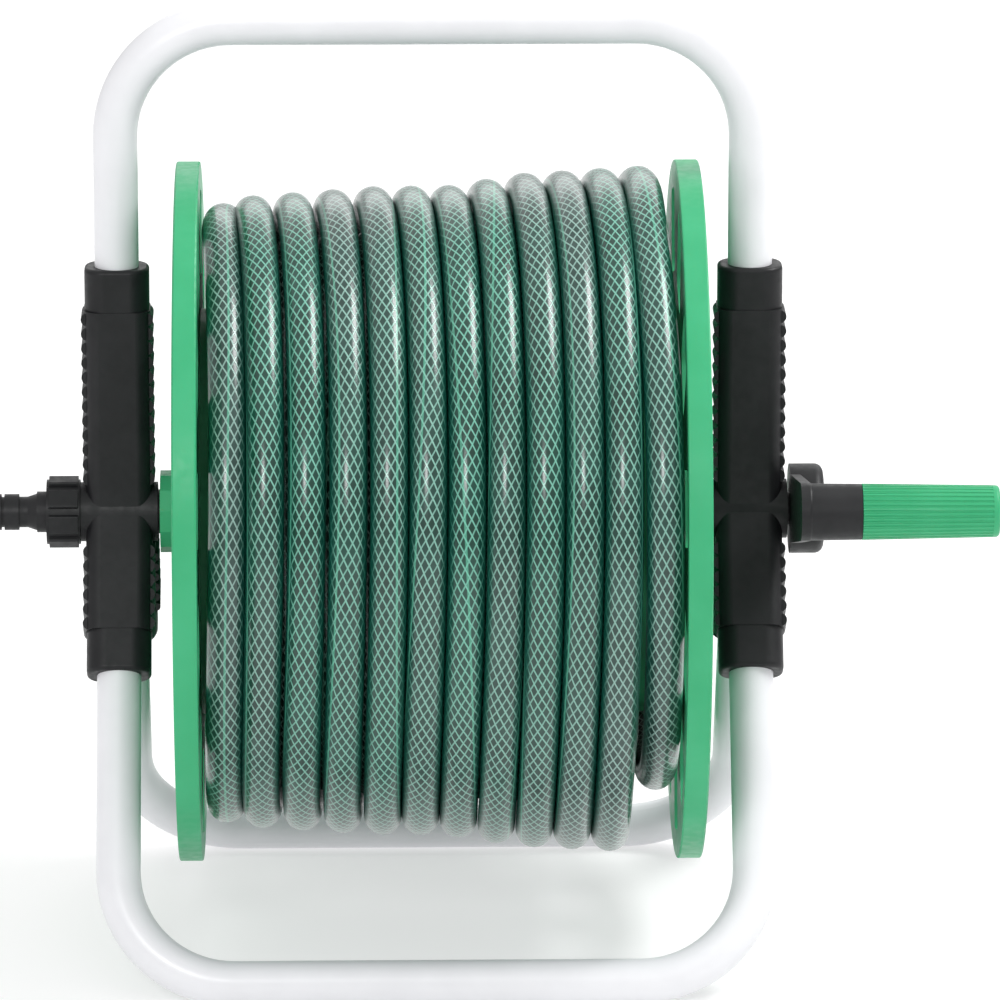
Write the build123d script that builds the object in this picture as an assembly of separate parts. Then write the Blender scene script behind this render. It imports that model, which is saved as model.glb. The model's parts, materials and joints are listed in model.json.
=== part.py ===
from build123d import *
import math
import os

# Portable garden hose reel on a bent-tube stand, in millimetres.
# It is modelled about the drum's axle: X along the axle, Y to the back, Z up.
# save() then moves every piece so that the origin is on the ground, at the
# middle of the reel's footprint.

FIT = 0.05  # play of a fixed joint or a running fit, on the radius
CUT = 1.0  # how far a cutting tool runs past the faces that it cuts

# ---- stand: three U tubes in two moulded hubs ----
TUBE_R = 10.0
TUBE_WALL = 1.2
BEND_R = 52.0
LEG_X = 142.8  # half the spacing of the handle's and the front foot's legs
REAR_LEG_X = 141.6
HANDLE_RISE = 226.0  # axle to the middle of the carrying bar
FOOT_REACH = 117.0  # axle to each foot bar, front to back
FOOT_DROP = 187.0  # axle to the middle of each foot bar
AXLE_HEIGHT = FOOT_DROP + TUBE_R
FOOT_ANGLE = math.degrees(math.atan(FOOT_REACH / FOOT_DROP))
FOOT_LENGTH = math.hypot(FOOT_REACH, FOOT_DROP)

HUB_WIDTH = 30.0
HUB_DEPTH = 24.6
HUB_CORNER = 6.8
HUB_TOP = 95.5  # axle to the end of the ribbed upper arm
HUB_LEG = 58.5  # axle to the end of each ribbed lower arm
BOSS_R = 13.5
BOSS_HALF = 17.45
SOCKET_START = 29.0
TUBE_START = 31.0  # axle to the end of each tube, inside its socket
COLLAR_LENGTH = 19.3
COLLAR_WIDTH = 29.2
COLLAR_DEPTH = 24.0
COLLAR_CORNER = 9.0
COLLAR_EDGE = 1.9
RIB_PITCH = 6.75
RIB_R = 3.1
RIB_PROUD = 1.3
UPPER_RIBS = 12
UPPER_RIB_START = 17.5
LOWER_RIBS = 6
LOWER_RIB_START = 21.5

SCREW_R = 1.6
SCREW_HEAD_R = 3.6
SCREW_HEAD = 2.0
SCREW_SLOT = (4.4, 1.8, 1.0)
SCREW_BACK = 12.0  # from the end of the ribbed arm
SCREW_IN = 6.0

# ---- drum ----
DRUM_LEFT = -105.3  # inner faces of the two flanges
DRUM_RIGHT = 109.4
FLANGE_R = 158.8
RIM_WIDTH = 10.7
RIM_WALL = 2.6
RIM_EDGE = 0.8
PLATE = 3.0
FLANGE_BOSS_R = 30.0
BEAD = 3.0  # width and height of the stiffening ring on the plate
RIB_WALL = 3.0
RIB_HEIGHT = 5.0
WINDOWS = 12
WINDOW_RING = 127.0
WINDOW_SIZE = (38.0, 34.0)
WINDOW_CORNER = 6.0
HOLE_RING = 63.0
HOLE_R = 12.0
FLANGE_SCREW_R = 2.5
FLANGE_SCREW_HEAD_R = 4.6
FLANGE_SCREW_HEAD = 2.4
FLANGE_SCREW_IN = 10.0
FLANGE_SCREW_SLOT = (6.0, 1.2, 1.6)
FLANGE_SCREW_RING = 84.0
FLANGE_SCREWS = 6
POST_R = 5.6
POST_LENGTH = 16.0
BARREL_R = 92.0
BARREL_WALL = 2.6
BARREL_SLOT = (24.0, 30.0, 24.0)
JOURNAL_R = 16.0
JOURNAL_FLATS = 12
JOURNAL_ACROSS = 37.3
JOURNAL_OUT = -124.2  # the outer face of its faceted head
JOURNAL_IN = DRUM_LEFT + 6.0
RUN = 0.06  # play of a bearing that turns, on the radius

# ---- water inlet ----
SPIGOT_R = 10.0
SPIGOT_BORE = 6.0
SPIGOT_IN = DRUM_LEFT + 9.5
HUB_LEFT_FACE = -LEG_X - BOSS_HALF
THREAD_R = 12.5
NUT_R = 16.1
NUT_CORE_R = 14.7
NUT_LENGTH = 15.5
NUT_LIP = 2.0
NUT_LOBES = 8
NUT_LOBE = (13.1, 8.6, 4.8)
NUT_TURN = 8.0  # where the nut has come to rest on its thread
NUT_OUT = HUB_LEFT_FACE - NUT_LENGTH
SEAL_X = NUT_OUT + NUT_LIP + 2.2
SEAL_THICKNESS = 1.6
ORING_X = -112.0
ORING_GROOVE = (3.0, 1.8)  # width and depth
ORING_R = 0.88
CLIP_X = DRUM_LEFT + 6.6
CLIP_GROOVE = (1.2, 1.2)
CLIP_R = 12.4
NIPPLE_BORE = 5.0
NIPPLE_RING_R = 8.2
NIPPLE_GROOVE_R = 6.9
NIPPLE_NECK_R = 7.0
NIPPLE_STEP_R = 8.4
NIPPLE_BASE_R = 9.3
LEFT_TIP = -200.0
NIPPLE_TIP = LEFT_TIP + 3.6
NIPPLE_RING_OUT = LEFT_TIP + 5.0
NIPPLE_RING_IN = LEFT_TIP + 11.6
NIPPLE_NECK_IN = LEFT_TIP + 15.6
NIPPLE_STEP_IN = NUT_OUT - 4.5
NIPPLE_EDGE = 1.4

# ---- water outlet, inside the drum ----
CHAMBER_R = 17.0
CHAMBER_BORE = 13.5
CHAMBER_OUT = -82.0
CHAMBER_END = 3.0  # thickness of its closed end
PIPE_R = 7.8
PIPE_BORE = 5.0
TAIL_JOINT_R = 8.0
TAIL_JOINT = 14.0
TAIL_BARB_R = 6.2
TAIL_BARB = 35.0
TAIL_BORE = 4.6
CLAMP_AT = 24.0
CLAMP_WIDTH = 8.0
CLAMP_WALL = 0.8
CLAMP_HOUSING = (9.0, 3.2, 7.0)

# ---- crank ----
CRANK_LENGTH = 95.0
CRANK_ANGLE = 14.0  # the arm at rest, above the horizontal, towards the front
CRANK_X = 161.5
CRANK_BOSS_R = 20.4
CRANK_BOSS = 15.3
CRANK_BOSS_EDGE = 4.0
CRANK_ARM_R = 16.0  # half the arm's width beside the boss
CRANK_END_R = 12.9
CRANK_PLATE = 5.6
CRANK_EDGE = 1.8
SLEEVE_R = 12.7
SLEEVE_END_R = 12.4
SHAFT_R = 7.5
SHAFT_HEAD_R = 20.0
SHAFT_HEAD = 5.0
SHAFT_SQUARE = 15.0
SHAFT_END_SQUARE = 10.4
SHAFT_END = 10.6
CRANK_SCREW_R = 2.5
CRANK_SCREW_HEAD_R = 5.4
CRANK_SCREW_HEAD = 2.4
CRANK_SCREW_IN = 14.0
CRANK_SCREW_SLOT = (2.4, 6.4, 1.3)
CRANK_RECESS_R = 9.0
CRANK_SEAT = 12.6  # the bottom of the recess for the screw's head
WASHER_R = 12.0
GRIP_START = 188.8
GRIP_END = 249.7
GRIP_R = 12.5
GRIP_END_R = 11.5
GRIP_EDGE = 1.8
GRIP_FLUTES = 32
FLUTE_R = 0.62
FLUTE_SHORT = 3.0  # how far the flutes stop short of the grip's end
FLUTE_OUT = 0.2
GRIP_TAPER = math.degrees(math.atan((GRIP_R - GRIP_END_R) / (GRIP_END - GRIP_START)))
PIN_R = 4.0
PIN_IN = 3.0
PIN_END = GRIP_END - 10.0
PIN_CLIP_R = 6.6
PIN_CLIP = (2.6, 1.2)  # how far its two faces are from the pin's end
CLIP_POCKET_R = 8.0
CLIP_POCKET = (14.0, 7.0)  # how far its two ends are from the grip's end

# ---- hose ----
HOSE_R = 8.5
WINDING_GAP = 0.3
WINDING_R_LEFT = 142.0
WINDING_R_RIGHT = 156.2
TAIL_X = -89.5
TAIL_RADIUS = 101.2  # axle to the hose's first turn
TAIL_ANGLE = 150.0  # where the hose starts: 0 is the front, 90 the top
FIRST_BEND = (21.0, 36.0, 54.0)  # room for the hose's rise from the barrel
FIRST_BEND_AT = (0.0, 4.0, 12.0)
END_X = 98.3
END_RADIUS = 116.0
END_ANGLE = -125.0
CONNECTOR_R = 10.6
CONNECTOR_LENGTH = 27.0
CONNECTOR_EDGE = 1.2
WAIST_AT = 10.0
WAIST_WIDTH = 3.0
WAIST_DEPTH = 1.0
END_NUT_LENGTH = 15.0
END_NUT_RIBS = 16
END_NUT_RIB = (1.2, 1.6, 12.0)
END_BORE = 5.0
IN_NUT = 10.0  # how far the hose goes into its nut
OUTLET_R = 8.4
OUTLET_DEPTH = 16.0

MIDDLE_X = (LEFT_TIP + GRIP_END) / 2

os.makedirs("parts", exist_ok=True)


def save(name, *solids):
    """Write one node, moved from the axle's frame to the ground's."""
    home = Location((-MIDDLE_X, 0, AXLE_HEIGHT))
    pieces = [s.moved(home) for s in solids]
    shape = pieces[0] if len(pieces) == 1 else Compound(children=pieces)
    export_step(shape, f"parts/{name}.step")


def rod(x0, x1, r, r_end=None):
    """A round bar along X, or a cone."""
    length = x1 - x0
    if r_end is None:
        body = Cylinder(r, length)
    else:
        body = Cone(r, r_end, length)
    return Pos((x0 + x1) / 2, 0, 0) * Rot(0, 90, 0) * body


def ring(x0, x1, r, bore):
    """A round sleeve along X."""
    return rod(x0, x1, r) - rod(x0 - CUT, x1 + CUT, bore)


def cylinder(z0, z1, r):
    """A round bar along a piece's local Z."""
    return Pos(0, 0, (z0 + z1) / 2) * Cylinder(r, z1 - z0)


def cross_slot(size):
    """A screwdriver's cross, from one slot's size along X, Y and Z."""
    return Box(*size) + Box(size[1], size[0], size[2])


def arm_frame(side_x, turn):
    """Local Z runs out along one arm of a hub, and X stays the axle's."""
    return Pos(side_x, 0, 0) * Rot(turn, 0, 0)


UP = 0.0
FRONT = 180.0 - FOOT_ANGLE
REAR = FOOT_ANGLE - 180.0


# ---- the three U tubes ----
def u_tube(half, start, end, turn):
    path = FilletPolyline(
        (-half, 0, start), (-half, 0, end), (half, 0, end), (half, 0, start), radius=BEND_R
    )
    section = Plane(origin=path @ 0, z_dir=path % 0) * (
        Circle(TUBE_R) - Circle(TUBE_R - TUBE_WALL)
    )
    tube = Rot(turn, 0, 0) * sweep(section, path=path)
    holes = [screw_hole(x, end_of(turn) - SCREW_BACK, turn) for x in (-half, half)]
    return tube - holes


# ---- tube screws: one for each leg, on the side that faces away ----
def end_of(turn):
    return HUB_TOP if turn == UP else HUB_LEG


def hidden_side(turn):
    """The side of an arm, in its local Y, that faces back or inwards."""
    return -1 if turn == FRONT else 1


def across(x, z, turn, y0, y1, r):
    """A round bar along an arm's local Y."""
    bar = Pos(0, (y0 + y1) / 2, z) * Rot(90, 0, 0) * Cylinder(r, abs(y1 - y0))
    return arm_frame(x, turn) * bar


def screw_hole(x, z, turn):
    side = hidden_side(turn)
    face = HUB_DEPTH / 2
    start = side * (face - SCREW_IN - CUT)
    return across(x, z, turn, start, side * (face + CUT), SCREW_R + FIT)


def tube_screw(x, z, turn):
    side = hidden_side(turn)
    face = HUB_DEPTH / 2
    shank = across(x, z, turn, side * (face - SCREW_IN), side * face, SCREW_R)
    head = across(x, z, turn, side * face, side * (face + SCREW_HEAD), SCREW_HEAD_R)
    slot = arm_frame(x, turn) * Pos(0, side * (face + SCREW_HEAD), z)
    length, depth, width = SCREW_SLOT
    cross = Box(length, depth, width) + Box(width, depth, length)
    return shank + head - slot * cross


# ---- hubs ----
def arm(side_x, turn, length):
    body = extrude(RectangleRounded(HUB_WIDTH, HUB_DEPTH, HUB_CORNER), amount=length)
    return arm_frame(side_x, turn) * body


def arm_ribs(side_x, turn, first, count):
    """A row of half-round grip ribs down both sides of an arm."""
    rib_x = HUB_WIDTH / 2 + RIB_PROUD - RIB_R
    rib = Rot(90, 0, 0) * Cylinder(RIB_R, HUB_DEPTH - 2 * HUB_CORNER + 2 * RIB_R)
    places = [(s * rib_x, 0, first + i * RIB_PITCH) for i in range(count) for s in (-1, 1)]
    return [arm_frame(side_x, turn) * Pos(*p) * rib for p in places]


def leg_x(turn):
    return REAR_LEG_X if turn == REAR else LEG_X


def socket(side, turn):
    bore = Pos(0, 0, SOCKET_START) * extrude(Circle(TUBE_R + FIT), amount=HUB_TOP)
    return arm_frame(side * leg_x(turn), turn) * bore


def hub(side, axle_bore):
    """The moulded inverted Y that joins the tubes and carries the axle."""
    x = side * LEG_X
    body = arm(x, UP, HUB_TOP) + arm(x, FRONT, HUB_LEG) + arm(side * REAR_LEG_X, REAR, HUB_LEG)
    body += arm_ribs(x, UP, UPPER_RIB_START, UPPER_RIBS)
    body += arm_ribs(x, FRONT, LOWER_RIB_START, LOWER_RIBS)
    body += arm_ribs(side * REAR_LEG_X, REAR, LOWER_RIB_START, LOWER_RIBS)
    body += rod(x - BOSS_HALF, x + BOSS_HALF, BOSS_R)
    body -= rod(x - 2 * BOSS_HALF, x + 2 * BOSS_HALF, axle_bore)
    for turn in (UP, FRONT, REAR):
        body -= socket(side, turn)
        body -= screw_hole(side * leg_x(turn), end_of(turn) - SCREW_BACK, turn)
    return body


def collar(side, turn):
    """The smooth sleeve that closes the end of an arm round its tube."""
    start = end_of(turn)
    section = RectangleRounded(COLLAR_WIDTH, COLLAR_DEPTH, COLLAR_CORNER)
    sleeve = extrude(section, amount=COLLAR_LENGTH)
    sleeve = fillet(sleeve.faces().sort_by(Axis.Z)[-1].edges(), COLLAR_EDGE)
    sleeve -= Cylinder(TUBE_R + FIT, 3 * COLLAR_LENGTH)
    return arm_frame(side * leg_x(turn), turn) * Pos(0, 0, start) * sleeve


# ---- drum ----
def flange(x, outward):
    """A dished disc: windows and ribs in the plate, and a wide turned rim."""
    disc = cylinder(0, RIM_WIDTH, FLANGE_R)
    disc = fillet(disc.edges(), RIM_EDGE)
    disc -= cylinder(PLATE, RIM_WIDTH + CUT, FLANGE_R - RIM_WALL)
    disc += cylinder(PLATE / 2, RIM_WIDTH, FLANGE_BOSS_R)
    disc += cylinder(PLATE / 2, PLATE + BEAD, BARREL_R + BEAD) - Cylinder(BARREL_R, 2 * RIM_WIDTH)
    step = 360 / WINDOWS
    start, end = FLANGE_BOSS_R - CUT, FLANGE_R - RIM_WALL / 2
    for i in range(WINDOWS):
        rib = Box(end - start, RIB_WALL, RIB_HEIGHT)
        disc += Rot(0, 0, i * step) * Pos((start + end) / 2, 0, PLATE + RIB_HEIGHT / 2) * rib
    window = extrude(RectangleRounded(*WINDOW_SIZE, WINDOW_CORNER), amount=PLATE + 2 * CUT)
    for i in range(WINDOWS):
        disc -= Rot(0, 0, (i + 0.5) * step) * Pos(WINDOW_RING, 0, -CUT) * window
    for i in range(0, WINDOWS, 2):
        hole = Pos(HOLE_RING, 0, 0) * Cylinder(HOLE_R, 3 * PLATE)
        disc -= Rot(0, 0, (i + 0.5) * step) * hole
    return Pos(x, 0, 0) * Rot(0, 90 * outward, 0) * disc


def flange_screw_places(x, outward):
    step = 360 / FLANGE_SCREWS
    return [
        Pos(x, 0, 0)
        * Rot(0, 90 * outward, 0)
        * Rot(0, 0, (i + 0.75) * step)
        * Pos(FLANGE_SCREW_RING, 0, 0)
        for i in range(FLANGE_SCREWS)
    ]


def flange_screw():
    """Local Z points out of the drum, and 0 is the flange's inner face."""
    shank = cylinder(-FLANGE_SCREW_IN, PLATE, FLANGE_SCREW_R)
    head = cylinder(PLATE, PLATE + FLANGE_SCREW_HEAD, FLANGE_SCREW_HEAD_R)
    slot = Pos(0, 0, PLATE + FLANGE_SCREW_HEAD) * cross_slot(FLANGE_SCREW_SLOT)
    return shank + head - slot


def screw_clearance():
    return Cylinder(FLANGE_SCREW_R + FIT, 2 * FLANGE_SCREW_IN + 4 * CUT)


def barrel():
    """The tube that the hose is wound on, with six screw posts inside each end."""
    shell = ring(DRUM_LEFT, DRUM_RIGHT, BARREL_R, BARREL_R - BARREL_WALL)
    post = cylinder(-POST_LENGTH, 0, POST_R)
    for x, outward in ((DRUM_LEFT, -1), (DRUM_RIGHT, 1)):
        shell += [place * post for place in flange_screw_places(x, outward)]
        shell -= [place * screw_clearance() for place in flange_screw_places(x, outward)]
    return shell - around(TAIL_X, BARREL_R, TAIL_ANGLE) * Box(*BARREL_SLOT)


def around(x, radius, angle):
    """A frame on the drum: local Z the way the hose runs, local Y outward."""
    a = math.radians(angle)
    spot = (x, -radius * math.cos(a), radius * math.sin(a))
    return Plane(origin=spot, x_dir=(1, 0, 0), z_dir=(0, -math.sin(a), -math.cos(a))).location


def journal():
    """The left bearing: a faceted head outside the flange, on a bushing."""
    length = DRUM_LEFT - RIM_WIDTH - JOURNAL_OUT
    head = extrude(RegularPolygon(JOURNAL_ACROSS / 2, JOURNAL_FLATS), amount=length)
    head = Pos(JOURNAL_OUT, 0, 0) * Rot(0, 90, 0) * Rot(0, 0, 180 / JOURNAL_FLATS) * head
    body = head + rod(JOURNAL_OUT, JOURNAL_IN, JOURNAL_R)
    return body - rod(JOURNAL_OUT - CUT, JOURNAL_IN + CUT, SPIGOT_R + RUN)


# ---- water way: nipple, nut, seal, spigot, elbow ----
def spigot():
    oring_half, oring_depth = ORING_GROOVE[0] / 2, ORING_GROOVE[1]
    clip_width, clip_depth = CLIP_GROOVE
    body = rod(SEAL_X + SEAL_THICKNESS, HUB_LEFT_FACE, THREAD_R)
    body += rod(HUB_LEFT_FACE, SPIGOT_IN, SPIGOT_R)
    start, end = ORING_X - oring_half, ORING_X + oring_half
    body -= ring(start, end, SPIGOT_R + CUT, SPIGOT_R - oring_depth)
    body -= ring(CLIP_X, CLIP_X + clip_width, SPIGOT_R + CUT, SPIGOT_R - clip_depth)
    return body - rod(SEAL_X - CUT, SPIGOT_IN + CUT, SPIGOT_BORE)


def oring():
    middle_r = SPIGOT_R - ORING_GROOVE[1] / 2
    return Pos(ORING_X, 0, 0) * Rot(0, 90, 0) * Torus(middle_r, ORING_R)


def circlip():
    start, end = CLIP_X + 2 * FIT, CLIP_X + CLIP_GROOVE[0] - 2 * FIT
    clip = ring(start, end, CLIP_R, SPIGOT_R - CLIP_GROOVE[1] + 2 * FIT)
    mouth = Box(4 * CLIP_GROOVE[0], SPIGOT_BORE, SPIGOT_R)
    return clip - Pos(CLIP_X, 0, SPIGOT_R) * mouth


def union_nut():
    """A coupling nut with eight square grip lobes."""
    nut = rod(NUT_OUT, HUB_LEFT_FACE - 6 * FIT, NUT_CORE_R)
    lobe = Box(*NUT_LOBE)
    lobe = fillet(lobe.edges().filter_by(Axis.X), RIM_EDGE)
    middle = (NUT_OUT + HUB_LEFT_FACE) / 2
    for i in range(NUT_LOBES):
        turn = Rot(i * 360 / NUT_LOBES + NUT_TURN, 0, 0)
        nut += turn * Pos(middle, 0, NUT_R - NUT_LOBE[2] / 2) * lobe
    nut -= rod(NUT_OUT + NUT_LIP, HUB_LEFT_FACE + CUT, THREAD_R + FIT)
    return nut - rod(NUT_OUT - CUT, HUB_LEFT_FACE, NIPPLE_BASE_R + FIT)


def nipple():
    """The push-on hose nipple: flange, step, neck, ring, groove and tip."""
    body = rod(NUT_OUT + NUT_LIP, SEAL_X, THREAD_R - 6 * FIT)
    body += rod(NIPPLE_STEP_IN, NUT_OUT + NUT_LIP, NIPPLE_BASE_R)
    body += rod(NIPPLE_NECK_IN, NIPPLE_STEP_IN, NIPPLE_NECK_R, NIPPLE_STEP_R)
    body += rod(NIPPLE_RING_IN, NIPPLE_NECK_IN, NIPPLE_NECK_R)
    body += rod(NIPPLE_RING_OUT, NIPPLE_RING_IN, NIPPLE_RING_R)
    body += rod(NIPPLE_TIP, NIPPLE_RING_OUT, NIPPLE_GROOVE_R)
    tip = rod(LEFT_TIP, NIPPLE_TIP, NIPPLE_RING_R)
    body += fillet(tip.edges().group_by(Axis.X)[0], NIPPLE_EDGE)
    return body - rod(LEFT_TIP - CUT, SEAL_X + CUT, NIPPLE_BORE)


def outlet_elbow():
    """Turns the water from the axle out through the barrel to the hose."""
    body = rod(JOURNAL_IN, CHAMBER_OUT, CHAMBER_R)
    lean = Pos(TAIL_X, 0, 0) * Rot(-TAIL_ANGLE, 0, 0)
    # local -Y is radial here, so the pipe leaves along it
    pipe = lean * Pos(0, -TAIL_RADIUS / 2, 0) * Rot(90, 0, 0)
    body += pipe * Cylinder(PIPE_R, TAIL_RADIUS)
    start = around(TAIL_X, TAIL_RADIUS, TAIL_ANGLE)
    body += start * Sphere(TAIL_JOINT_R)
    body += start * cylinder(0, TAIL_JOINT, TAIL_JOINT_R)
    body += start * cylinder(TAIL_JOINT - CUT, TAIL_BARB, TAIL_BARB_R)
    body -= pipe * Cylinder(PIPE_BORE, TAIL_RADIUS)
    body -= start * Sphere(PIPE_BORE)
    body -= start * cylinder(0, TAIL_BARB + CUT, TAIL_BORE)
    return body - rod(JOURNAL_IN - CUT, CHAMBER_OUT - CHAMBER_END, CHAMBER_BORE)


def hose_clamp():
    """A worm-drive band on the hose's first few centimetres."""
    start = around(TAIL_X, TAIL_RADIUS, TAIL_ANGLE) * Pos(0, 0, CLAMP_AT)
    inner_r = HOSE_R + 2 * FIT
    band = Cylinder(inner_r + CLAMP_WALL, CLAMP_WIDTH) - Cylinder(inner_r, CLAMP_WIDTH + CUT)
    lift = inner_r + CLAMP_WALL / 2 + CLAMP_HOUSING[1] / 2
    return start * (band + Pos(0, lift, 0) * Box(*CLAMP_HOUSING))


# ---- crank ----
def crank_point(x, reach):
    """A frame on the crank arm, that far from the axle."""
    return Pos(x, 0, 0) * Rot(-CRANK_ANGLE, 0, 0) * Pos(0, -reach, 0)


def crank_arm():
    """A flat arm that widens to a thick boss at one end and a sleeve at the other."""
    far = Pos(0, -CRANK_LENGTH) * Circle(CRANK_END_R)
    profile = make_hull(Circle(CRANK_ARM_R).edges() + far.edges())
    plate = extrude(make_face(profile.edges()), amount=CRANK_PLATE)
    plate = fillet(plate.edges().group_by(Axis.Z)[-1], CRANK_EDGE)
    boss = cylinder(0, CRANK_BOSS, CRANK_BOSS_R)
    boss = fillet(boss.edges().group_by(Axis.Z)[-1], CRANK_BOSS_EDGE)
    # the flat profile's X and Z become the reel's Z and X
    body = Pos(CRANK_X, 0, 0) * Rot(-CRANK_ANGLE, 0, 0) * Rot(0, 90, 0) * (boss + plate)
    length = GRIP_START - CRANK_X - 6 * FIT
    sleeve = rod(CRANK_PLATE / 2, length, SLEEVE_R, SLEEVE_END_R)
    body += crank_point(CRANK_X, CRANK_LENGTH) * sleeve
    body -= crank_point(CRANK_X, CRANK_LENGTH) * rod(PIN_IN, length + CUT, PIN_R)
    axle = crank_point(CRANK_X, 0)
    square = SHAFT_END_SQUARE + 2 * FIT
    body -= axle * Pos((SHAFT_END - CUT) / 2, 0, 0) * Box(SHAFT_END + CUT, square, square)
    body -= axle * rod(CRANK_SEAT, CRANK_BOSS + CUT, CRANK_RECESS_R)
    return body - axle * rod(0, CRANK_BOSS, CRANK_SCREW_R + FIT)


def crank_screw():
    top = CRANK_SEAT + CRANK_SCREW_HEAD
    length, width, depth = CRANK_SCREW_SLOT[1], CRANK_SCREW_SLOT[2], CRANK_SCREW_SLOT[0]
    screw = rod(CRANK_SEAT, top, CRANK_SCREW_HEAD_R)
    screw += rod(-CRANK_SCREW_IN, CRANK_SEAT, CRANK_SCREW_R)
    slot = Pos(top, 0, 0) * (Box(depth, length, width) + Box(depth, width, length))
    return crank_point(CRANK_X, 0) * (screw - slot)


def crank_shaft():
    """Square in the flange, round in the hub, square in the crank."""
    lean = Rot(-CRANK_ANGLE, 0, 0)
    shaft = rod(DRUM_RIGHT - SHAFT_HEAD, DRUM_RIGHT, SHAFT_HEAD_R)
    shaft += rod(DRUM_RIGHT + RIM_WIDTH, CRANK_X - 4 * FIT, SHAFT_R)
    square = Box(RIM_WIDTH, SHAFT_SQUARE, SHAFT_SQUARE)
    shaft += Pos(DRUM_RIGHT + RIM_WIDTH / 2, 0, 0) * lean * square
    end = Box(SHAFT_END + 4 * FIT, SHAFT_END_SQUARE, SHAFT_END_SQUARE)
    shaft += Pos(CRANK_X + SHAFT_END / 2 - 2 * FIT, 0, 0) * lean * end
    return shaft - rod(CRANK_X - CRANK_SCREW_IN - 2 * CUT, CRANK_X + CRANK_BOSS, CRANK_SCREW_R)


def drilled(disc, x, outward):
    return disc - [place * screw_clearance() for place in flange_screw_places(x, outward)]


def right_flange():
    square = SHAFT_SQUARE + 2 * FIT
    bore = Rot(-CRANK_ANGLE, 0, 0) * Box(4 * RIM_WIDTH, square, square)
    return drilled(flange(DRUM_RIGHT, 1), DRUM_RIGHT, 1) - Pos(DRUM_RIGHT, 0, 0) * bore


def left_flange():
    bore = rod(DRUM_LEFT - RIM_WIDTH - CUT, DRUM_LEFT + CUT, JOURNAL_R + FIT)
    return drilled(flange(DRUM_LEFT, -1), DRUM_LEFT, -1) - bore


def grip():
    """The turning hand grip: a fluted taper with a blind end."""
    span = GRIP_END - GRIP_START
    body = rod(0, span, GRIP_R, GRIP_END_R)
    body = fillet(body.edges().group_by(Axis.X)[-1], GRIP_EDGE)
    flute = Rot(0, 90 + GRIP_TAPER, 0) * Cylinder(FLUTE_R, span - FLUTE_SHORT)
    middle_r = (GRIP_R + GRIP_END_R) / 2 + FLUTE_OUT
    flute = Pos((span - FLUTE_SHORT) / 2, 0, middle_r) * flute
    for i in range(GRIP_FLUTES):
        body -= Rot(i * 360 / GRIP_FLUTES, 0, 0) * flute
    pocket_start, pocket_end = span - CLIP_POCKET[0], span - CLIP_POCKET[1]
    body -= rod(-CUT, pocket_start + CUT, PIN_R + RUN)
    body -= rod(pocket_start, pocket_end, CLIP_POCKET_R)
    return crank_point(GRIP_START, CRANK_LENGTH) * body


def grip_pin():
    return crank_point(0, CRANK_LENGTH) * rod(CRANK_X + PIN_IN, PIN_END, PIN_R)


def pin_clip():
    """A push-on clip that keeps the grip on its pin."""
    clip = ring(PIN_END - PIN_CLIP[0], PIN_END - PIN_CLIP[1], PIN_CLIP_R, PIN_R)
    return crank_point(0, CRANK_LENGTH) * clip


# ---- hose: the winding's outer shape, and the fitting on its loose end ----
def winding():
    """A cone frustum, with room left for the hose's first bend and its loose end."""
    left, right = DRUM_LEFT + WINDING_GAP, DRUM_RIGHT - WINDING_GAP
    body = rod(left, right, WINDING_R_LEFT, WINDING_R_RIGHT)
    body -= rod(left - CUT, right + CUT, BARREL_R + WINDING_GAP)
    first_bend = around(TAIL_X, TAIL_RADIUS, TAIL_ANGLE) * Pos(*FIRST_BEND_AT) * Box(*FIRST_BEND)
    length = CONNECTOR_LENGTH + END_NUT_LENGTH + 4 * CUT
    below = CONNECTOR_R + 2 * CUT
    depth = below + WINDING_R_RIGHT - END_RADIUS + CUT
    loose_end = around(END_X, END_RADIUS, END_ANGLE) * Pos(0, depth / 2 - below, length / 2 - CUT)
    return body - first_bend - loose_end * Box(2 * CONNECTOR_R + 3 * CUT, depth, length)


def end_nut():
    """The ribbed nut that grips the hose's loose end."""
    width, _, length = END_NUT_RIB
    nut = cylinder(0, END_NUT_LENGTH, CONNECTOR_R - width / 2)
    rib = Pos(CONNECTOR_R - width / 2 - 2 * FIT, 0, END_NUT_LENGTH / 2) * Box(*END_NUT_RIB)
    nut += [Rot(0, 0, i * 360 / END_NUT_RIBS) * rib for i in range(END_NUT_RIBS)]
    nut -= cylinder(-CUT, IN_NUT, HOSE_R + FIT / 2)
    return around(END_X, END_RADIUS, END_ANGLE) * (nut - Cylinder(END_BORE, 4 * END_NUT_LENGTH))


def end_connector():
    """The push-on coupling at the hose's loose end."""
    start = END_NUT_LENGTH
    end = start + CONNECTOR_LENGTH
    body = cylinder(start, end, CONNECTOR_R)
    body = fillet(body.edges().group_by(Axis.Z)[-1], CONNECTOR_EDGE)
    waist_start = start + WAIST_AT - WAIST_WIDTH / 2
    waist_end = waist_start + WAIST_WIDTH
    waist = cylinder(waist_start, waist_end, CONNECTOR_R + CUT)
    waist -= cylinder(waist_start, waist_end, CONNECTOR_R - WAIST_DEPTH)
    body -= waist
    body -= cylinder(end - OUTLET_DEPTH, end + CUT, OUTLET_R)
    body -= cylinder(start - CUT, end, END_BORE)
    return around(END_X, END_RADIUS, END_ANGLE) * body


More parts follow.
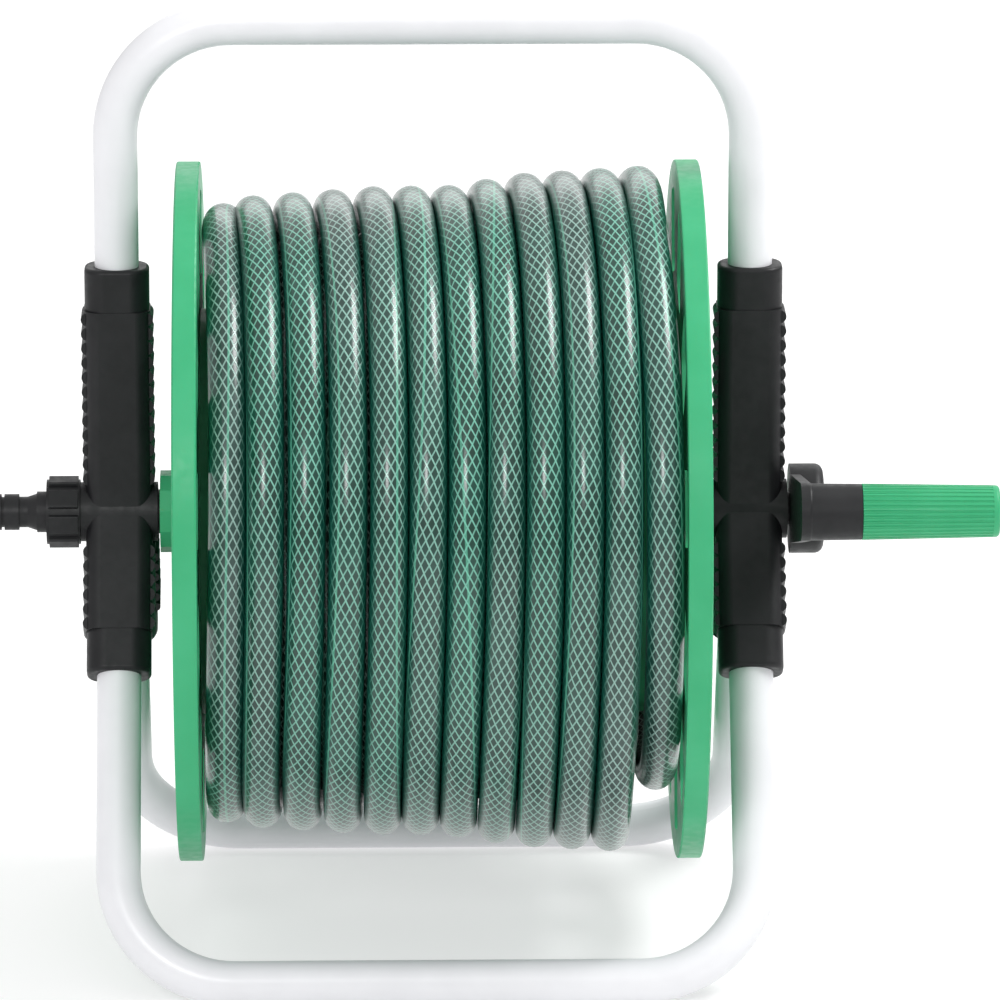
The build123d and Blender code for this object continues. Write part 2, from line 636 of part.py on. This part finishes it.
save("handle_tube", u_tube(LEG_X, TUBE_START, HANDLE_RISE, UP))
save("front_foot_tube", u_tube(LEG_X, TUBE_START, FOOT_LENGTH, FRONT))
save("rear_foot_tube", u_tube(REAR_LEG_X, TUBE_START, FOOT_LENGTH, REAR))
save("left_hub", hub(-1, SPIGOT_R + FIT))
save("right_hub", hub(1, SHAFT_R + FIT))
for side, word in ((-1, "left"), (1, "right")):
    for turn, arm_name in ((UP, "handle"), (FRONT, "front"), (REAR, "rear")):
        save(f"{word}_{arm_name}_collar", collar(side, turn))
save(
    "tube_screws",
    *[
        tube_screw(side * leg_x(turn), end_of(turn) - SCREW_BACK, turn)
        for side in (-1, 1)
        for turn in (UP, FRONT, REAR)
    ],
)

save("inlet_spigot", spigot())
save("inlet_seal", ring(SEAL_X, SEAL_X + SEAL_THICKNESS, THREAD_R - 6 * FIT, SPIGOT_BORE))
save("inlet_union_nut", union_nut())
save("inlet_nipple", nipple())
save("axle_oring", oring())
save("spigot_circlip", circlip())

save("left_flange", left_flange())
save("right_flange", right_flange())
save("drum_barrel", barrel())
save("left_journal", journal())
for word, x, outward in (("left", DRUM_LEFT, -1), ("right", DRUM_RIGHT, 1)):
    save(
        f"{word}_flange_screws",
        *[place * flange_screw() for place in flange_screw_places(x, outward)],
    )
save("outlet_elbow", outlet_elbow())
save("hose_clamp", hose_clamp())
save("crank_shaft", crank_shaft())
washer_start = DRUM_RIGHT + RIM_WIDTH + 2 * FIT
washer_end = LEG_X - BOSS_HALF - 8 * FIT
save("thrust_washer", ring(washer_start, washer_end, WASHER_R, SHAFT_R + FIT))
save("crank_arm", crank_arm())
save("crank_screw", crank_screw())
save("grip_pin", grip_pin())
save("pin_clip", pin_clip())
save("grip", grip())

save("hose_winding", winding())
save("hose_end_nut", end_nut())
save("hose_end_connector", end_connector())
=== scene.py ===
"""The looks of a garden hose reel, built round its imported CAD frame. Metres, +Z up."""
import json
import math

import bmesh
import bpy
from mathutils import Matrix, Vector


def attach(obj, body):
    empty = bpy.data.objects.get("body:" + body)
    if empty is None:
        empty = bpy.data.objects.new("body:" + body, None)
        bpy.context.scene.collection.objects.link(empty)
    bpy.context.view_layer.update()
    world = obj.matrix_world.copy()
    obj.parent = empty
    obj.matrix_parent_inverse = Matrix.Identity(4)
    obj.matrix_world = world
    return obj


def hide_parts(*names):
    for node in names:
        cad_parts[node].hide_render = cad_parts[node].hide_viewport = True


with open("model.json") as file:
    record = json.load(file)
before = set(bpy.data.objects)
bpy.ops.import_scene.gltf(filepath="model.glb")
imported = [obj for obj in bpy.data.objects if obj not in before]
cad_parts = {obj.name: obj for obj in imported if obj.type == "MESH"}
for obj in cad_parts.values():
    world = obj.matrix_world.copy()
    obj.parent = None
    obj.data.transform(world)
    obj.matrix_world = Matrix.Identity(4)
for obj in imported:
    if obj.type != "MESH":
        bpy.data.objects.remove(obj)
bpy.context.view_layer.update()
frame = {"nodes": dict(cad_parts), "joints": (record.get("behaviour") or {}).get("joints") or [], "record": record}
AXLE = Vector(next(j["pos_m"] for j in frame["joints"] if j["name"] == "drum_spin"))


# ---- camera ----
CAMERA_DISTANCE = 3.7
CAMERA_LENS = 293.0
CAMERA_SENSOR = 36.0
CAMERA_ELEVATION = math.radians(15.0)
CAMERA_AZIMUTH = math.radians(-1.1)
CAMERA_AIM = AXLE + Vector((0.030, 0, 0.0045))


def make_camera():
    data = bpy.data.cameras.new("camera")
    data.lens = CAMERA_LENS
    data.sensor_width = CAMERA_SENSOR
    data.clip_end = 30
    level = math.cos(CAMERA_ELEVATION)
    back = Vector((
        math.sin(CAMERA_AZIMUTH) * level,
        -math.cos(CAMERA_AZIMUTH) * level,
        math.sin(CAMERA_ELEVATION),
    ))
    camera = bpy.data.objects.new("camera", data)
    bpy.context.scene.collection.objects.link(camera)
    camera.location = CAMERA_AIM + CAMERA_DISTANCE * back
    camera.rotation_euler = (-back).to_track_quat("-Z", "Y").to_euler()
    bpy.context.scene.camera = camera


# ---- hose route: three layers wound about the axle ----
HOSE_D = 0.017
PITCH = 0.0172  # one turn to the next
STEPS = 24  # points in a turn
ROUND_UP = 1 / (0.75 + 0.25 * math.cos(math.tau / STEPS))  # the spline runs inside its points

TAIL_X = -0.0895  # where the hose leaves the barrel, from the middle of the stand
TAIL_R = 0.1012
TAIL_ANGLE = 150.0  # 0 is the front, 90 the top, and the hose runs towards smaller angles
TAIL_RUN = (0.014, 0.026, 0.038)  # points on its straight start
TAIL_RISE = 0.006  # how far out it starts to bend round the barrel
TAIL_BEND = (-0.07, -0.035)  # parts of a turn before the top
LAST_X = 0.0998  # where the last turn passes the front
LAST_POINTS = 14
END_X = 0.0983
END_R = 0.116
END_ANGLE = -125.0
BEFORE_NUT = 0.006
IN_NUT = 0.010

# (x, radius) where each turn crosses the top of the drum
FIRST_LAYER = [(TAIL_X + k * PITCH, TAIL_R) for k in range(11)]
SECOND_LAYER = [(0.079 - k * 0.0177, 0.128 - 0.0011 * k) for k in range(10)]
# the same for the outer layer, as (turn, x) and (turn, radius)
OUTER_PLACES = [(0, -0.0962), (1, -0.0802), (4, -0.0256), (11, 0.0945)]
OUTER_RADII = [(0, 0.1315), (1, 0.1349), (4, 0.1388), (6, 0.1392), (8, 0.1446), (11, 0.1476)]
OUTER_TURNS = 12


def between(knots, t):
    """The value at t on straight lines from knot to knot."""
    for (t0, v0), (t1, v1) in zip(knots, knots[1:]):
        if t <= t1:
            return v0 + (v1 - v0) * (t - t0) / (t1 - t0)
    return knots[-1][1]


def ease(t):
    """0 to 1 as t goes from 0 to 1, level at both ends."""
    t = min(max(t, 0.0), 1.0)
    return t * t * (3 - 2 * t)


def outer_layer():
    return [(between(OUTER_PLACES, k), between(OUTER_RADII, k)) for k in range(OUTER_TURNS)]


def around(x, radius, degrees):
    """A point about the axle."""
    a = math.radians(degrees)
    return AXLE + Vector((x, -radius * math.cos(a), radius * math.sin(a)))


def heading(degrees):
    """The way the hose runs there."""
    a = math.radians(degrees)
    return Vector((0, -math.sin(a), -math.cos(a)))


# a turn doesn't step across evenly: it sways, (size, peak) once and twice a turn
SWAY = {1: (0.182, 0.05), 2: (0.1, 0.167)}


def across(f):
    """How much of its step across a turn has made, f of the way round from the top."""
    step = f
    for times, (size, peak) in SWAY.items():
        swing = times * math.tau
        step += size * (math.cos(swing * (f - peak)) - math.cos(swing * peak))
    return step


def hose_points():
    tail, tail_way = around(TAIL_X, TAIL_R, TAIL_ANGLE), heading(TAIL_ANGLE)
    points = [tail + tail_way * d for d in TAIL_RUN]
    for f in TAIL_BEND:
        points.append(around(TAIL_X, TAIL_R + TAIL_RISE * ease(-f / 0.1), 90 - 360 * f))
    places = FIRST_LAYER + SECOND_LAYER + outer_layer()
    for (x0, r0), (x1, r1) in zip(places, places[1:]):
        for i in range(STEPS):
            f = i / STEPS
            radius = r0 + (r1 - r0) * ease(f)
            points.append(around(x0 + (x1 - x0) * across(f), radius * ROUND_UP, 90 - 360 * f))
    x0, r0 = places[-1]
    for i in range(LAST_POINTS):
        f = i / STEPS
        radius = r0 + (END_R - r0) * ease((f - 0.2) / 0.3)
        x = x0 + (LAST_X - x0) * ease(f / 0.2) + (END_X - LAST_X) * ease((f - 0.35) / 0.2)
        points.append(around(x, radius * ROUND_UP, 90 - 360 * f))
    end, end_way = around(END_X, END_R, END_ANGLE), heading(END_ANGLE)
    points.append(end - end_way * BEFORE_NUT)
    points.append(end + end_way * IN_NUT)
    return points


def spline_line(points, resolution):
    """Points read from the smooth NURBS spline with these control points."""
    curve = bpy.data.curves.new("route", "CURVE")
    curve.dimensions = "3D"
    spline = curve.splines.new("NURBS")
    spline.points.add(len(points) - 1)
    for place, point in zip(spline.points, points):
        place.co = (*point, 1.0)
    spline.order_u = 3
    spline.use_endpoint_u = True
    curve.resolution_u = resolution
    spline.resolution_u = resolution
    holder = bpy.data.objects.new("route", curve)
    bpy.context.scene.collection.objects.link(holder)
    mesh = bpy.data.meshes.new_from_object(holder)
    line = [v.co.copy() for v in mesh.vertices]
    bpy.data.objects.remove(holder)
    bpy.data.curves.remove(curve)
    bpy.data.meshes.remove(mesh)
    return line


SIDES = 24
LINE_RESOLUTION = 4


def hose_mesh(line):
    """A round tube along the line, with UVs: metres along it, and turns around it."""
    count = len(line)
    along = [0.0]
    for a, b in zip(line, line[1:]):
        along.append(along[-1] + (b - a).length)
    verts = []
    for i, point in enumerate(line):
        ahead = (line[min(i + 1, count - 1)] - line[max(i - 1, 0)]).normalized()
        out = point - AXLE
        out.x = 0
        out = (out - ahead * out.dot(ahead)).normalized()
        side = ahead.cross(out)
        for j in range(SIDES):
            a = math.tau * j / SIDES
            verts.append(point + (out * math.cos(a) + side * math.sin(a)) * HOSE_D / 2)
    faces, uvs = [], []
    for i in range(count - 1):
        for j in range(SIDES):
            k = (j + 1) % SIDES
            faces.append((i * SIDES + j, i * SIDES + k, (i + 1) * SIDES + k, (i + 1) * SIDES + j))
            v0, v1 = j / SIDES, (j + 1) / SIDES
            uvs += [(along[i], v0), (along[i], v1), (along[i + 1], v1), (along[i + 1], v0)]
    for first, turn in ((0, -1), ((count - 1) * SIDES, 1)):
        faces.append([first + j for j in range(SIDES)][::turn])
        uvs += [(0, 0)] * SIDES
    mesh = bpy.data.meshes.new("hose")
    mesh.from_pydata(verts, [], faces)
    layer = mesh.uv_layers.new(name="hose")
    layer.data.foreach_set("uv", [c for uv in uvs for c in uv])
    mesh.polygons.foreach_set("use_smooth", [len(f) == 4 for f in faces])
    mesh.update()
    return mesh, along[-1]


# ---- node helpers ----
class Finish:
    """Builds one material's node tree round its Principled shader."""

    def __init__(self, name):
        self.material = bpy.data.materials.new(name)
        self.material.use_nodes = True
        self.tree = self.material.node_tree
        self.shader = self.tree.nodes["Principled BSDF"]
        self.place = self.node("ShaderNodeTexCoord").outputs["Object"]

    def node(self, kind, inputs=None, **settings):
        made = self.tree.nodes.new(kind)
        for key, value in settings.items():
            setattr(made, key, value)
        for key, value in (inputs or {}).items():
            self.feed(made.inputs[key], value)
        return made

    def feed(self, socket, value):
        if isinstance(value, bpy.types.NodeSocket):
            self.tree.links.new(value, socket)
        else:
            socket.default_value = value

    def set(self, **values):
        """Values or links for the shader's own sockets, named as words joined by _."""
        for key, value in values.items():
            self.feed(self.shader.inputs[key.replace("_", " ")], value)

    def math(self, operation, a, b=0.0, c=0.0):
        return self.node("ShaderNodeMath", {0: a, 1: b, 2: c}, operation=operation).outputs[0]

    def noise(self, scale, detail=2.0, roughness=0.5, place=None):
        inputs = {"Vector": place or self.place, "Scale": scale, "Detail": detail}
        made = self.node("ShaderNodeTexNoise", {**inputs, "Roughness": roughness})
        return made.outputs["Fac"]

    def stretch(self, x, y, z):
        return self.node("ShaderNodeMapping", {"Vector": self.place, "Scale": (x, y, z)}).outputs[0]

    def ramp(self, value, low, high, start=0.0, end=1.0):
        """value from low..high turned into start..end, smoothly, and held past its ends."""
        inputs = {"Value": value, "From Min": low, "From Max": high, "To Min": start, "To Max": end}
        made = self.node("ShaderNodeMapRange", inputs, interpolation_type="SMOOTHSTEP")
        return made.outputs["Result"]

    def mix(self, factor, a, b, blend="MIX"):
        made = self.node("ShaderNodeMix", data_type="RGBA", blend_type=blend)
        self.feed(made.inputs[0], factor)
        self.feed(made.inputs[6], (*a, 1) if isinstance(a, tuple) else a)
        self.feed(made.inputs[7], (*b, 1) if isinstance(b, tuple) else b)
        return made.outputs[2]

    def bump(self, height, strength, distance, normal=None):
        inputs = {"Height": height, "Strength": strength, "Distance": distance}
        if normal is not None:
            inputs["Normal"] = normal
        return self.node("ShaderNodeBump", inputs).outputs[0]


# ---- materials ----
def powder_coat():
    m = Finish("powder_coat")
    mottle = m.noise(40, 3)
    peel = m.noise(1400, 2)
    m.set(
        Base_Color=m.mix(m.ramp(mottle, 0.3, 0.7), (0.745, 0.745, 0.77), (0.775, 0.775, 0.80)),
        Roughness=m.ramp(m.noise(260, 3), 0.3, 0.7, 0.30, 0.40),
        Normal=m.bump(peel, 0.25, 0.0001),
        Coat_Weight=0.15,
        Coat_Roughness=0.2,
    )
    return m.material


def black_plastic():
    m = Finish("black_plastic")
    spark = m.noise(2600, 3, 0.65)
    flow = m.noise(55, 3)
    m.set(
        Base_Color=m.mix(m.ramp(flow, 0.3, 0.7), (0.0075, 0.0077, 0.0088), (0.012, 0.012, 0.0135)),
        Roughness=m.ramp(m.noise(300, 3), 0.3, 0.7, 0.40, 0.52),
        Normal=m.bump(spark, 0.3, 0.00012),
        Specular_IOR_Level=0.3,
    )
    return m.material


def green_plastic():
    m = Finish("green_plastic")
    flow = m.noise(28, 3)
    grain = m.noise(1800, 2)
    wave = m.bump(flow, 0.25, 0.004)
    m.set(
        Base_Color=m.mix(m.ramp(flow, 0.3, 0.7), (0.030, 0.350, 0.150), (0.042, 0.385, 0.175)),
        Roughness=m.ramp(m.noise(220, 3), 0.3, 0.7, 0.34, 0.46),
        Normal=m.bump(grain, 0.2, 0.0001, wave),
        Subsurface_Weight=0.08,
        Subsurface_Scale=0.004,
        Specular_IOR_Level=0.35,
    )
    return m.material


def white_plastic():
    m = Finish("white_plastic")
    turned = m.noise(900, 2, place=m.stretch(1, 0.05, 0.05))
    m.set(
        Base_Color=m.mix(turned, (0.72, 0.72, 0.69), (0.80, 0.80, 0.77)),
        Roughness=m.ramp(turned, 0.3, 0.7, 0.35, 0.5),
        Normal=m.bump(turned, 0.2, 0.0001),
    )
    return m.material


def black_rubber():
    m = Finish("black_rubber")
    grain = m.noise(2200, 3)
    m.set(
        Base_Color=m.mix(grain, (0.008, 0.008, 0.008), (0.016, 0.016, 0.016)),
        Roughness=m.ramp(grain, 0.3, 0.7, 0.65, 0.8),
        Normal=m.bump(grain, 0.3, 0.0001),
    )
    return m.material


def zinc_steel():
    m = Finish("zinc_steel")
    spangle = m.noise(700, 3)
    m.set(
        Base_Color=m.mix(spangle, (0.50, 0.51, 0.53), (0.66, 0.67, 0.69)),
        Metallic=1.0,
        Roughness=m.ramp(spangle, 0.3, 0.7, 0.28, 0.42),
        Normal=m.bump(spangle, 0.15, 0.00005),
    )
    return m.material


YARNS = 14  # each way round the hose
BRAID_LENGTH = 0.0069  # one diamond of the braid, along the hose
YARN_WIDTH = 0.15  # of the space between two yarns
YARN_EDGE = 0.05
STRIPES = 2


def hose_pvc():
    """Clear green hose: pale braid and two thin stripes inside a glossy wall."""
    m = Finish("hose_pvc")
    place = m.node("ShaderNodeUVMap", uv_map="hose").outputs["UV"]
    split = m.node("ShaderNodeSeparateXYZ", {0: place})
    along, turn = split.outputs[0], split.outputs[1]
    lengthwise = m.node("ShaderNodeCombineXYZ", {0: along}).outputs[0]
    drift = m.noise(0.9, 1, place=lengthwise)
    wander = m.noise(60, 1, place=lengthwise)
    # painted shade: the sides of each turn are painted dark green with the braid dimmed, standing for the shade
    # between neighbouring turns and the deeper green wall seen at a slant
    side = m.math("ABSOLUTE", m.math("SINE", m.math("MULTIPLY", turn, math.tau)))
    unshaded_core = m.ramp(side, 0.55, 0.93, 1, 0)
    twist = m.math("ADD", turn, m.math("MULTIPLY", drift, 2.2))

    def yarn(way):
        slant = m.math("MULTIPLY", along, way / BRAID_LENGTH)
        slant = m.math("ADD", slant, m.math("MULTIPLY", wander, 0.5))
        phase = m.math("FRACT", m.math("MULTIPLY_ADD", twist, YARNS, slant))
        off = m.math("ABSOLUTE", m.math("SUBTRACT", phase, 0.5))
        return m.ramp(off, YARN_WIDTH / 2, YARN_WIDTH / 2 + YARN_EDGE, 1, 0)

    over, under = yarn(1), yarn(-1)
    braid = m.math("MAXIMUM", over, m.math("MULTIPLY", under, 0.8))
    seam = m.math("FRACT", m.math("MULTIPLY", twist, STRIPES))
    stripe = m.ramp(m.math("ABSOLUTE", m.math("SUBTRACT", seam, 0.5)), 0.010, 0.026, 1, 0)
    tone = m.ramp(m.noise(2.3, 1, place=lengthwise), 0.38, 0.62)
    patch = m.ramp(m.noise(45, 3), 0.3, 0.7)
    clear = m.mix(tone, (0.0010, 0.030, 0.019), (0.009, 0.034, 0.027))
    clear = m.mix(patch, clear, m.mix(tone, (0.0020, 0.052, 0.035), (0.022, 0.056, 0.047)))
    pale = m.mix(tone, (0.145, 0.42, 0.32), (0.24, 0.39, 0.345))
    inside = m.mix(braid, clear, pale)
    # painted shade on the sides of a turn: dark green, with the braid dimmed to 30%
    shaded_side = m.mix(m.math("MULTIPLY", braid, 0.30), (0.0015, 0.056, 0.038), (0.045, 0.27, 0.195))
    colour = m.mix(unshaded_core, shaded_side, inside)
    m.set(
        Base_Color=m.mix(m.math("MULTIPLY", stripe, 0.5), colour, (0.12, 0.50, 0.34)),
        Roughness=0.30,
        Specular_IOR_Level=0.25,
        Coat_Weight=0.75,
        Coat_Roughness=0.2,
        Coat_IOR=1.5,
        Coat_Normal=m.bump(braid, 0.3, 0.0002),
        Normal=m.bump(braid, 0.4, 0.0003),
    )
    return m.material


# ---- stage ----
FLOOR_RADIUS = 9.0


def make_floor():
    mesh = bpy.data.meshes.new("floor")
    form = bmesh.new()
    bmesh.ops.create_circle(form, cap_ends=True, segments=96, radius=FLOOR_RADIUS)
    form.to_mesh(mesh)
    form.free()
    floor = bpy.data.objects.new("floor", mesh)
    bpy.context.scene.collection.objects.link(floor)
    m = Finish("floor")
    m.set(
        Base_Color=m.mix(m.noise(3, 2), (0.55, 0.55, 0.55), (0.57, 0.57, 0.57)),
        Roughness=0.9,
        Specular_IOR_Level=0.1,
        Emission_Color=(1, 1, 1, 1),
        Emission_Strength=0.47,
    )
    mesh.materials.append(m.material)


# the sky's brightness, from the horizon up
SKY = {"From Min": 0.0, "From Max": 0.9, "To Min": 0.50, "To Max": 1.0}
# name, place, size in metres, power in watts
SOFTBOXES = (
    ("key_softbox", (1.45, 0.17, 2.1), (1.3, 0.8), 41),
    ("front_softbox", (-0.69, -2.5, 1.5), (0.75, 0.45), 22),
    ("back_softbox", (0.2, 2.2, 1.1), (2.2, 0.8), 6),
)


def area_light(name, place, size, power):
    """A soft light aimed at the axle."""
    data = bpy.data.lights.new(name, "AREA")
    data.shape = "RECTANGLE"
    data.size, data.size_y = size
    data.energy = power
    lamp = bpy.data.objects.new(name, data)
    bpy.context.scene.collection.objects.link(lamp)
    lamp.location = place
    lamp.rotation_euler = (AXLE - Vector(place)).to_track_quat("-Z", "Y").to_euler()


def make_light():
    world = bpy.data.worlds.new("studio")
    world.use_nodes = True
    bpy.context.scene.world = world
    nodes, links = world.node_tree.nodes, world.node_tree.links
    up = nodes.new("ShaderNodeSeparateXYZ")
    links.new(nodes.new("ShaderNodeTexCoord").outputs["Generated"], up.inputs[0])
    sky = nodes.new("ShaderNodeMapRange")
    links.new(up.outputs[2], sky.inputs["Value"])
    for key, value in SKY.items():
        sky.inputs[key].default_value = value
    links.new(sky.outputs["Result"], nodes["Background"].inputs["Strength"])
    nodes["Background"].inputs["Color"].default_value = (1, 1, 1, 1)
    for name, place, size, power in SOFTBOXES:
        area_light(name, place, size, power)
    bpy.context.scene.view_settings.view_transform = "Standard"


# ---- assembly ----
def dress_nodes():
    finishes = {
        "powder_coat": powder_coat(),
        "black_plastic": black_plastic(),
        "green_plastic": green_plastic(),
        "white_plastic": white_plastic(),
        "black_rubber": black_rubber(),
        "zinc_steel": zinc_steel(),
    }
    for part in frame["record"]["subparts"]:
        finish = finishes.get(part["material_slot"])
        if finish is None:
            continue
        mesh = frame["nodes"][part["node"]].data
        mesh.materials.clear()
        mesh.materials.append(finish)


def make_hose():
    line = spline_line(hose_points(), LINE_RESOLUTION)
    mesh, length = hose_mesh(line)
    mesh.materials.append(hose_pvc())
    hose = bpy.data.objects.new("hose", mesh)
    bpy.context.scene.collection.objects.link(hose)
    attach(hose, "drum")
    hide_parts("hose_winding")
    print("hose:", len(line), "points,", round(length, 3), "m")


make_camera()
make_hose()
dress_nodes()
make_floor()
make_light()
